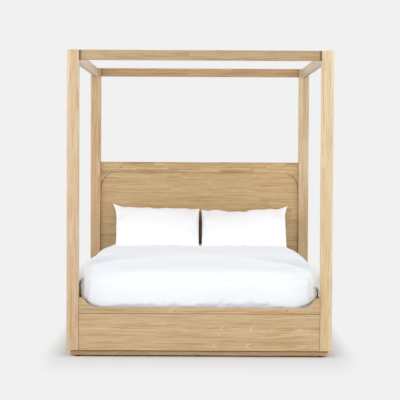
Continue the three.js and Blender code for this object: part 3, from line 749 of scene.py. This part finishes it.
def duvet_face(half_x, foot_y, head_y, top, hem, edge_round, head_round):
    """A smooth face of the duvet as a grid of points, with its flat coordinates.

    Reach is 0 on top, 1 where the rounding ends and 2 at the hem; heading is 0 at the sides and a
    quarter turn at the foot.
    """
    over = np.concatenate([
        np.arange(1, DUVET_ROUND_STEPS + 1) / DUVET_ROUND_STEPS,
        1 + np.arange(1, DUVET_DROP_STEPS + 1) / DUVET_DROP_STEPS,
    ])
    flat_x, flat_y = np.meshgrid(
        np.pad(np.linspace(-1, 1, DUVET_COLUMNS), len(over), mode="edge"),
        np.pad(np.linspace(0, 1, DUVET_ROWS), (len(over), 0), mode="edge"))
    reach_x, reach_y = np.meshgrid(
        np.concatenate([over[::-1], np.zeros(DUVET_COLUMNS), over]),
        np.concatenate([over[::-1], np.zeros(DUVET_ROWS)]))
    rounding = edge_round + (head_round - edge_round) * flat_y
    reach = np.maximum(reach_x, reach_y)
    heading = np.arctan2(reach_y, reach_x)
    angle = np.minimum(reach, 1) * np.pi / 2
    fall = np.maximum(reach - 1, 0) * (top - rounding - hem)
    core_x = flat_x * (half_x - rounding)
    core_y = foot_y + edge_round + flat_y * (head_y - foot_y - edge_round)
    to_side = np.sign(flat_x) * np.cos(heading) * (reach_x > 0)
    to_foot = np.sin(heading) * (reach_y > 0)
    out = rounding * np.sin(angle)
    z = top - rounding * (1 - np.cos(angle)) - fall
    run = rounding * angle + fall
    points = np.stack([core_x + out * to_side, core_y - out * to_foot, z], axis=2)
    return points, core_x + run * to_side, core_y - run * to_foot, reach, heading


def sweep_height(x):
    """Height of the footboard's top edge at a place across the bed."""
    return SWEEP_LOW + (SWEEP_HIGH - SWEEP_LOW) * ramp(np.abs(x), SWEEP_START, SWEEP_END)


def distance_to_path(u, v, path):
    """Distance to a line of points, and whether a point lies on the foot side of it."""
    best = np.full(u.shape, 1e9)
    side = np.zeros(u.shape)
    for (ax, ay), (bx, by) in zip(path, path[1:]):
        dx, dy = bx - ax, by - ay
        share = np.clip(((u - ax) * dx + (v - ay) * dy) / (dx * dx + dy * dy), 0, 1)
        away = np.hypot(u - ax - share * dx, v - ay - share * dy)
        nearer = away < best
        side = np.where(nearer, (u - ax) * dy - (v - ay) * dx > 0, side)
        best = np.minimum(best, away)
    return best, side


def fullness(u, v, reach):
    """How far the shoulders stand out from their plain rounding."""
    left, right = (np.interp(v, FULLNESS_PLACES, FULLNESS[side]) for side in (-1, 1))
    share = ramp(u, -0.3, 0.3)
    head = ramp(v, 0.4, 0.6)
    shoulder = ramp(np.abs(u), 0.3 + 0.33 * head, 0.62 + 0.09 * head) * (1 - ramp(reach, 0.6, 1.1))
    return (left * (1 - share) + right * share) * shoulder


def fold_edge(side, corner, u, v):
    """Height of the slanting fold's lower edge round a foot corner, at a heading in degrees."""
    foot_z, side_z = CORNER_FOLDS[side]
    share = np.clip((corner - FOLD_FROM) / FOLD_SPAN, 0, 1.2)
    return side_z + (foot_z - side_z) * share + waves(FOLD_WAVER, u, v)


def crease_folds(u, v, reach):
    """The crease with its bank and the slope to the foot, how sharp it is, and the painted shade in its
    valley.
    """
    away, foot_side = distance_to_path(u, v, CREASE)
    signed = away * (2 * foot_side - 1)
    faint = 0.35 + 0.65 * ramp(np.abs(u), 0.2, 0.55)
    beside = ramp(np.abs(u), 0.25, 0.55)
    crease = -CREASE_DEPTH * faint * hump(away, CREASE_WIDTH)
    step = -CREASE_STEP * ramp(signed, -0.06, 0.03) * beside * (1 - ramp(reach, 0.5, 1.1))
    bank = BANK_HEIGHT * hump(signed - BANK_PLACE, BANK_WIDTH) * beside
    slope = -FOOT_SLOPE * np.clip(-v / 0.95, 0, 1) ** 2
    slope = slope * ramp(signed, 0.02, 0.45) * (1 - ramp(reach, 0.4, 1.0))
    shade = CREASE_SHADE * faint * hump(signed - CREASE_SHADE_PLACE, CREASE_SHADE_WIDTH)
    return crease + step + bank + slope, 0.6 * hump(away, CREASE_WIDTH), shade * (1 - ramp(reach, 1.3, 1.6))


def duvet_waves(u, v, reach, heading):
    """Broad waves and ripples all over, and the drape of the overhang."""
    broad = waves(BROAD_WAVES, u, v) + waves(MIDDLE_WAVES, u + 0.1, v)
    swing = waves(SWING, u, v)
    ripples = waves(LONG_RIPPLES, u * 0.35 + swing, v * 1.5 + swing)
    ripples += waves(SHORT_RIPPLES, u * 0.5 + swing, v * 1.3 - u * 0.4)
    down = np.clip(reach - 0.6, 0, 1.4) / 1.4
    return broad + ripples + down * waves(DRAPE, np.where(heading > 0.8, u, v), reach * 0.12)


def duvet_folds(x, z, u, v, reach, heading):
    """How far the folds stand out from the smooth face, how sharp they are, and painted shade in the crease,
    the tucked corners and along the sweeps.
    """
    folds, sharp, shade = crease_folds(u, v, reach)
    folds = folds + duvet_waves(u, v, reach, heading)
    corner = np.degrees(heading)
    for side in CORNER_FOLDS:
        edge = fold_edge(side, corner, u, v)
        here = (np.sign(x) == side) * (reach > 0.2) * (1 - ramp(v, -0.9, -0.76))
        above = ramp(z - edge, -4 * MM, 6 * MM) * hump(z - edge - 6 * MM, 16 * MM)
        folds = folds + FOLD_PROUD * above * here * (1 - ramp(corner, 60, 68))
        sharp = np.maximum(sharp, here * (1 - ramp(corner, 80, 89)) * ramp(edge - z, -50 * MM, -10 * MM))
        # Painted shade in the hollow where the cover tucks in below each corner fold
        tucked = ramp(corner, 20, 30) * (1 - ramp(corner, 46, 74)) * ramp(edge - z, -4 * MM, 12 * MM)
        shade = np.maximum(shade, here * tucked)
    # Painted shade where the cover meets the footboard's sweeps
    sweep = (1 - ramp(z - sweep_height(x), 0, 14 * MM)) * ramp(np.abs(x), *SWEEP_NEAR) * ramp(corner, 25, 45)
    return folds, sharp, np.maximum(shade, HEM_SHADE * sweep)


def tuck_corners(outer, u, v, reach, heading):
    """The outer face with its foot corners tucked in below the folds."""
    x, y, z = (outer[..., axis].copy() for axis in range(3))
    corner = np.degrees(heading)
    headings, tuck_x, tuck_y = np.array(TUCK).T
    plain_x = tuck_x[-1] + (tuck_x[0] - tuck_x[-1]) * np.cos(heading)
    plain_y = tuck_y[0] + (tuck_y[-1] - tuck_y[0]) * np.sin(heading)
    in_x = np.interp(corner, headings, tuck_x) - plain_x
    in_y = np.interp(corner, headings, tuck_y) - plain_y
    for side in CORNER_FOLDS:
        edge = fold_edge(side, corner, u, v)
        share = (np.sign(x) == side) * (reach > 0.2) * ramp(edge - z, -3 * MM, 8 * MM)
        ridges = np.maximum(np.sin(math.tau * (z / RIDGE_RISE + corner / RIDGE_TURN)), 0)
        share = share * (1 - TUCK_RIDGES[side] * ridges)
        outer[..., 0] += side * share * in_x
        outer[..., 1] += share * in_y
    under = (1 - ramp(z - sweep_height(x), 2 * MM, 20 * MM)) * ramp(np.abs(x), *SWEEP_NEAR)
    outer[..., 1] += SWEEP_TUCK * under * (y < FOOT_FACE_Y)
    return outer


def sewn_rim(outer, inner):
    """The outer face, curled in to the inner one round the rim."""
    rows, columns = outer.shape[:2]
    row, column = np.indices((rows, columns))
    from_rim = np.minimum(np.minimum(row, rows - 1 - row), np.minimum(column, columns - 1 - column))
    share = np.clip(from_rim / DUVET_SEAM_CELLS, 0, 1)
    share = np.sqrt(1 - (1 - share) ** 2)[..., None]
    seam = inner + grid_normals(outer) * DUVET_SEAM
    return seam * (1 - share) + outer * share


def rests_below(points, pillows):
    """For each point, the height of the underside of what lies over it."""
    limit = np.full(len(points), 1e9)
    for pillow in pillows:
        tree = BVHTree.FromPolygons(
            [v.co for v in pillow.data.vertices], [tuple(p.vertices) for p in pillow.data.polygons])
        for place, point in enumerate(points):
            below = Vector((point[0], point[1], BELOW_PILLOWS_Z))
            hit = tree.ray_cast(below, Vector((0, 0, 1)))[0]
            if hit:
                limit[place] = min(limit[place], hit.z)
    return limit


def make_duvet(fabric, pillows):
    low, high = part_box("duvet")
    mattress_low, mattress_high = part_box("mattress")
    gap = DUVET_SIDE_GAP
    outer, u, v, reach, heading = duvet_face(
        high.x - 1 * MM, low.y + 3 * MM, high.y, high.z - 5 * MM, low.z, DUVET_ROUND, DUVET_HEAD_ROUND)
    inner = duvet_face(
        mattress_high.x + gap, mattress_low.y - gap, high.y, mattress_high.z + 0.5 * MM, low.z,
        DUVET_INNER_ROUND, DUVET_INNER_ROUND)[0]
    folds, sharp, shade = duvet_folds(outer[..., 0], outer[..., 2], u, v, reach, heading)
    calm = 0.3 + 0.7 * (1 - ramp(v, 0.45, 0.65))
    ridge = DUVET_RIDGE * ramp(v, 0.2, 0.55) * (1 - ramp(np.abs(u), 0.63, 0.71))
    outer = outer + grid_normals(outer) * (folds * calm + ridge + fullness(u, v, reach))[..., None]
    outer = sewn_rim(tuck_corners(outer, u, v, reach, heading), inner)
    points, faces = closed_sheet(outer, inner)
    count = len(points) // 2
    fixed = list(range(count, 2 * count)) + rim_of(*outer.shape[:2])
    moved = inflate(points, faces, DUVET_PRESSURE, DUVET_SLACK, fixed) - points
    far = np.linalg.norm(moved, axis=1)
    cap = DUVET_CAP * (1 - DUVET_SHARP_HOLD * np.concatenate([sharp.ravel(), sharp.ravel()]))
    points = points + moved * np.minimum(1, cap / np.maximum(far, 1e-9))[:, None]

    # The pillows lie in it
    top = points[:count]
    under = np.flatnonzero((top[:, 2] > mattress_high.z) & (top[:, 1] > PILLOWS_FROM_Y))
    top[under, 2] = np.minimum(top[under, 2], rests_below(top[under], pillows) - DUVET_CLEAR)
    points[:, 0] = np.clip(points[:, 0], low.x - DUVET_STRAY, high.x + DUVET_STRAY)
    points[:, 1] = np.clip(points[:, 1], low.y - DUVET_STRAY, high.y)
    duvet = mesh_piece("duvet_cover", points, faces, fabric, "duvet")
    # The outer face carries the painted shade values; the inner face none
    values = duvet.data.attributes.new(FOLD_SHADE_VALUES, "FLOAT", "POINT")
    values.data.foreach_set("value", np.concatenate([shade.ravel(), np.zeros(count)]))
    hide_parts("duvet")


# Cloth simulation

CLOTH_FRAMES = 20
CLOTH_SETTINGS = {
    "quality": 6, "mass": 0.3, "tension_stiffness": 18, "compression_stiffness": 18, "shear_stiffness": 8,
    "bending_stiffness": 0.3, "tension_damping": 12, "compression_damping": 12, "use_pressure": True,
}


def inflate(points, faces, pressure, slack, fixed=()):
    """The points after a short cloth simulation under pressure, with some slack in the cloth."""
    data = bpy.data.meshes.new("blank")
    data.from_pydata([tuple(p) for p in points], [], faces)
    blank = put_in_scene("blank", data)
    cloth_modifier = blank.modifiers.new("cloth", "CLOTH")
    settings = cloth_modifier.settings
    for key, value in CLOTH_SETTINGS.items():
        setattr(settings, key, value)
    settings.uniform_pressure_force = pressure
    settings.shrink_min = -slack
    settings.effector_weights.gravity = 0
    cloth_modifier.collision_settings.use_collision = False
    if len(fixed):
        group = blank.vertex_groups.new(name="fixed")
        group.add([int(place) for place in fixed], 1.0, "REPLACE")
        settings.vertex_group_mass = "fixed"
    for step in range(1, CLOTH_FRAMES + 1):
        bpy.context.scene.frame_set(step)
    evaluated = blank.evaluated_get(bpy.context.evaluated_depsgraph_get())
    result = np.empty(len(points) * 3)
    evaluated.data.vertices.foreach_get("co", result)
    bpy.data.objects.remove(blank)
    bpy.context.scene.frame_set(1)
    return result.reshape(-1, 3)


# Pillows

PILLOW_LEAN = math.radians(36)
PILLOW_HALF_LENGTH = 215 * MM
PILLOW_HALF_LOFT = 87 * MM
PILLOW_OUTER_EAR = 30 * MM
PILLOW_INNER_EAR = 6 * MM
PILLOW_EAR_LIFT = 20 * MM
PILLOW_FROM_HEADBOARD = 193 * MM
PILLOW_ABOVE_DUVET = 144 * MM
PILLOW_SETTLE = 15 * MM
PILLOW_SINK = 6 * MM
PILLOW_SEAM_HOLD = 0.75
PILLOW_EDGE_PINCH = 6 * MM
PILLOW_INNER_PINCH = 2 * MM
PILLOW_GRID = (57, 85)
PILLOW_BLANK = (1.05, 1.08, 0.75)
PILLOW_CRUMPLE, PILLOW_CRUMPLE_CELL = 0.8 * MM, 0.07
PILLOW_PRESSURE = 6.0
PILLOW_SLACK = 0.010
PILLOW_EVENING = 20
PILLOW_DIP_PLACE = -0.3
PILLOW_DIP_WIDTH = 0.6

# Side towards the post; pinch, tuck, rise and dip; seed
PILLOWS = {
    "left": (-1, 12 * MM, 18 * MM, 14 * MM, 0.0, 31),
    "right": (1, 3 * MM, 6 * MM, 0.0, 24 * MM, 37),
}


def pillow_blank(half_width, seed):
    """A pillow laid flat: its points, its faces, and where each point lies from seam to seam."""
    rows, columns = PILLOW_GRID
    a, b = np.meshgrid(np.linspace(-1, 1, columns), np.linspace(-1, 1, rows))
    grow_x, grow_y, grow_z = PILLOW_BLANK
    x = a * half_width * grow_x
    y = b * PILLOW_HALF_LENGTH * grow_y
    loft = PILLOW_HALF_LOFT * grow_z * (1 - np.abs(a) ** 4) ** 0.75 * (1 - b * b) ** 0.7
    edge = 1 - (1 - a ** 8) * (1 - b ** 8)
    crumple = waves((PILLOW_CRUMPLE, PILLOW_CRUMPLE_CELL, seed), x, y) * edge

    # The back has its own points only inside the seam
    count = rows * columns
    inner = inside_of(rows, columns)
    place = list(range(count))
    for number, index in enumerate(inner):
        place[index] = count + number
    faces = grid_faces(rows, columns)
    faces += [tuple(place[index] for index in face) for face in grid_faces(rows, columns, flip=True)]
    front = np.stack([x, y, loft + crumple], axis=2).reshape(-1, 3)
    back = np.stack([x, y, crumple - loft], axis=2).reshape(-1, 3)[inner]
    flat = np.stack([a, b], axis=2).reshape(-1, 2)
    return np.concatenate([front, back]), faces, np.concatenate([flat, flat[inner]])


def evened(moved, flat):
    """A movement of the pillow's points with its short waves evened out, most of all beside the seams."""
    rows, columns = PILLOW_GRID
    count = rows * columns
    inner = inside_of(rows, columns)
    back = moved[:count].copy()
    back[inner] = moved[count:]
    sheets = []
    for sheet in (moved[:count], back):
        grid = sheet.reshape(rows, columns, 3)
        for _ in range(PILLOW_EVENING):
            wide = np.pad(grid, ((1, 1), (1, 1), (0, 0)), mode="edge")
            around = wide[:-2, 1:-1] + wide[2:, 1:-1] + wide[1:-1, :-2] + wide[1:-1, 2:]
            grid = (around + 4 * grid) / 8
        sheets.append(grid.reshape(-1, 3))
    even = np.concatenate([sheets[0], sheets[1][inner]])
    share = 0.5 + 0.5 * ramp(np.abs(flat).max(axis=1), 0.5, 0.8)
    return moved + (even - moved) * share[:, None]


def seam_shares(values, along, flat):
    """Each value as a share, -1 to 1, of the smooth line that the two seams follow."""
    low, high = (
        np.polyval(np.polyfit(along[flat == end], values[flat == end], 10), along) for end in (-1, 1))
    shares = (2 * values - low - high) / (high - low)
    sewn = PILLOW_SEAM_HOLD * ramp(np.abs(flat), 0.8, 1)
    return shares * (1 - sewn) + flat * sewn


def soft_limit(values, limit, direction, ease=12 * MM):
    """Values kept to one side of a limit, eased in before it."""
    over = (values - limit) * direction / ease
    eased = np.where(over > 1, 0.0, np.where(over < -1, over, -((1 - over) ** 2) / 4))
    return limit + direction * ease * eased


def place_pillow(points, flat, side, half_width):
    """Lean a flat pillow on the headboard, with its ears, pinches and dip."""
    outward, pinch, tuck, rise, dip, _ = PILLOWS[side]
    low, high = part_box(f"pillow_{side}")
    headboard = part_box("headboard_top_rail")[0].y
    ears = PILLOW_OUTER_EAR - PILLOW_INNER_EAR
    centre_x = (low.x + high.x - outward * ears) / 2
    x, y, z = points.T
    x, y = x / np.abs(x).max(), y / np.abs(y).max()
    u, v = seam_shares(x, y, flat[:, 0]), seam_shares(y, x, flat[:, 1])
    loft = z * PILLOW_HALF_LOFT / np.abs(z).max()
    outer = np.sign(u) == outward
    upper = np.maximum(v, 0)
    ear = np.minimum(np.abs(u * v), 1) ** 7 * np.where(outer, PILLOW_OUTER_EAR, PILLOW_INNER_EAR)
    pinch = pinch * (1 - v * v) + tuck * np.maximum(-v, 0)
    pinch = np.where(outer, pinch, PILLOW_INNER_PINCH * (1 - v * v))
    x = u * (half_width - pinch) + np.sign(u) * ear * (v > 0)
    up = v * (PILLOW_HALF_LENGTH - PILLOW_EDGE_PINCH * (1 - u * u)) + np.sign(v) * ear
    sag = dip * hump(u - PILLOW_DIP_PLACE, PILLOW_DIP_WIDTH)
    lift = PILLOW_EAR_LIFT * ear / PILLOW_OUTER_EAR * upper
    slope = rise * (1 + outward * u) / 2
    settle = PILLOW_SETTLE * np.clip((-v - 0.45) / 0.55, 0, 1) ** 2
    world_y = headboard - PILLOW_FROM_HEADBOARD + up * math.cos(PILLOW_LEAN) - loft * math.sin(PILLOW_LEAN)
    world_z = low.z + PILLOW_ABOVE_DUVET + up * math.sin(PILLOW_LEAN) + loft * math.cos(PILLOW_LEAN)
    world_z = world_z + lift + (slope - sag) * upper - settle
    world_y = soft_limit(world_y, high.y, 1)
    world_z = soft_limit(world_z, low.z - PILLOW_SINK, -1)
    return np.stack([centre_x + x, world_y, world_z], axis=1)


def make_pillow(side, fabric):
    low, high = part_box(f"pillow_{side}")
    half_width = (high.x - low.x - PILLOW_OUTER_EAR - PILLOW_INNER_EAR) / 2
    points, faces, flat = pillow_blank(half_width, PILLOWS[side][-1])
    moved = inflate(points, faces, PILLOW_PRESSURE, PILLOW_SLACK) - points
    points = points + evened(moved, flat)
    points = place_pillow(points, flat, side, half_width)
    pillow = mesh_piece(f"pillow_case_{side}", points, faces, fabric, f"pillow_{side}")
    smooth = pillow.modifiers.new("smooth", "SUBSURF")
    smooth.levels = smooth.render_levels = 1
    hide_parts(f"pillow_{side}")
    return pillow


# Camera, solved from the timber's corners in the photograph
CAMERA_PLACE = Vector((-0.0133, -10.375, 1.3494))
CAMERA_YAW = math.radians(0.09)
CAMERA_PITCH = math.radians(2.0)
CAMERA_ROLL = math.radians(0.291)
CAMERA_SEES = 200.0
SENSOR_WIDTH = 36.0
CAMERA_LENS = 129.0

# Light; a lamp is its name, place, size and power
WORLD_LIGHT = 0.435
BACKGROUND = (*linear((241, 241, 241)), 1)
LAMP_TARGET = (0, 0, 0.9)
LAMPS = (
    ("key_left", (-3.2, -7.0, 2.4), 3.0, 92.0),
    ("key_right", (3.2, -7.0, 2.4), 3.0, 92.0),
    ("front", (0.0, -4.6, 4.6), 2.6, 26.0),
    ("top", (0.0, 0.3, 6.0), 4.0, 8.0),
    ("side_left", (-5.6, -1.8, 2.7), 4.0, 145.0),
    ("side_right", (5.6, -1.8, 2.7), 4.0, 145.0),
    ("rear", (0.0, 7.0, 4.5), 2.4, 65.0),
)

# Floor; its shadow fades out round the bed, sooner at the sides
FLOOR_SIZE = 60.0
FLOOR_COLOUR = (0.80, 0.81, 0.83)
FLOOR_FADE = 0.9
FLOOR_NARROWING = (4.5, 1.0, 1.0)


def make_camera():
    data = bpy.data.cameras.new("camera")
    data.sensor_width = SENSOR_WIDTH
    data.lens = CAMERA_LENS
    data.clip_end = CAMERA_SEES
    camera = put_in_scene("camera", data)
    yaw = Matrix.Rotation(-CAMERA_YAW, 4, "Z")
    pitch = Matrix.Rotation(math.pi / 2 - CAMERA_PITCH, 4, "X")
    roll = Matrix.Rotation(CAMERA_ROLL, 4, "Z")
    camera.matrix_world = Matrix.Translation(CAMERA_PLACE) @ yaw @ pitch @ roll
    bpy.context.scene.camera = camera


def seen_rays(nodes):
    """1 for rays that show the background: from the camera, in gloss and through glass."""
    rays = nodes.node("ShaderNodeLightPath").outputs
    seen = rays["Is Camera Ray"]
    for kind in ("Is Glossy Ray", "Is Transmission Ray"):
        seen = nodes.math("MAXIMUM", seen, rays[kind])
    return seen


def choose(nodes, share, first, second, output):
    """Ends a shader tree with a mix of two shaders."""
    mixed = nodes.node("ShaderNodeMixShader", {0: share, 1: first.outputs[0], 2: second.outputs[0]})
    nodes.node(output, {0: mixed.outputs[0]})


def light_scene():
    for name, place, size, power in LAMPS:
        data = bpy.data.lights.new(name, "AREA")
        data.shape = "DISK"
        data.size = size
        data.energy = power
        lamp = put_in_scene(name, data)
        lamp.location = place
        lamp.rotation_euler = (Vector(LAMP_TARGET) - Vector(place)).to_track_quat("-Z", "Y").to_euler()
    world = bpy.data.worlds.new("studio")
    bpy.context.scene.world = world
    world.use_nodes = True
    nodes = Nodes(world.node_tree)
    nodes.tree.nodes.clear()
    light = nodes.node("ShaderNodeBackground", {"Color": (1, 1, 1, 1), "Strength": WORLD_LIGHT})
    seen = nodes.node("ShaderNodeBackground", {"Color": BACKGROUND})
    choose(nodes, seen_rays(nodes), light, seen, "ShaderNodeOutputWorld")


def make_floor():
    data = bpy.data.meshes.new("floor")
    half = FLOOR_SIZE / 2
    corners = [(x, y, 0) for x, y in ((-half, -half), (half, -half), (half, half), (-half, half))]
    data.from_pydata(corners, [], [(0, 1, 2, 3)])
    floor = put_in_scene("floor", data)
    material = bpy.data.materials.new("studio_floor")
    material.use_nodes = True
    nodes = Nodes(material.node_tree)
    nodes.tree.nodes.clear()
    matt = nodes.node("ShaderNodeBsdfDiffuse", {"Color": (*FLOOR_COLOUR, 1)})
    flat = nodes.node("ShaderNodeEmission", {"Color": BACKGROUND})

    # The shadow is kept near the bed: how far a point lies outside the bed's outline
    away = nodes.node("ShaderNodeTexCoord").outputs["Object"]
    for operation, value in (
        ("ABSOLUTE", (0, 0, 0)),
        ("SUBTRACT", (cad_high[0], cad_high[1], 0)),
        ("MAXIMUM", (0, 0, 0)),
        ("MULTIPLY", FLOOR_NARROWING),
    ):
        away = nodes.node("ShaderNodeVectorMath", {0: away, 1: value}, operation=operation).outputs[0]
    away = nodes.node("ShaderNodeVectorMath", {0: away}, operation="LENGTH").outputs["Value"]
    faded = nodes.between(away, 0.0, FLOOR_FADE)
    choose(nodes, nodes.mul(faded, seen_rays(nodes)), matt, flat, "ShaderNodeOutputMaterial")
    data.materials.append(material)


make_camera()
light_scene()
make_floor()
dress_timber()
dress_base()
# The cotton's last colour is its painted fold shade, warm with the wood's bounce
cotton = cloth("white_cotton", (246, 250, 255), (238, 245, 255), 1.6 * MM, (198, 188, 178))
case = cloth("white_pillow_cotton", (252, 253, 255), (247, 249, 254), 1.4 * MM)
ticking = cloth("mattress_ticking", (240, 237, 230), (228, 224, 215), 2.4 * MM)
tape = cloth("mattress_tape", (214, 210, 202), (196, 192, 184), 2.0 * MM)
make_mattress(ticking, tape)
make_duvet(cotton, [make_pillow(pillow_side, case) for pillow_side in PILLOWS])

bpy.context.scene.view_settings.view_transform = "Standard"
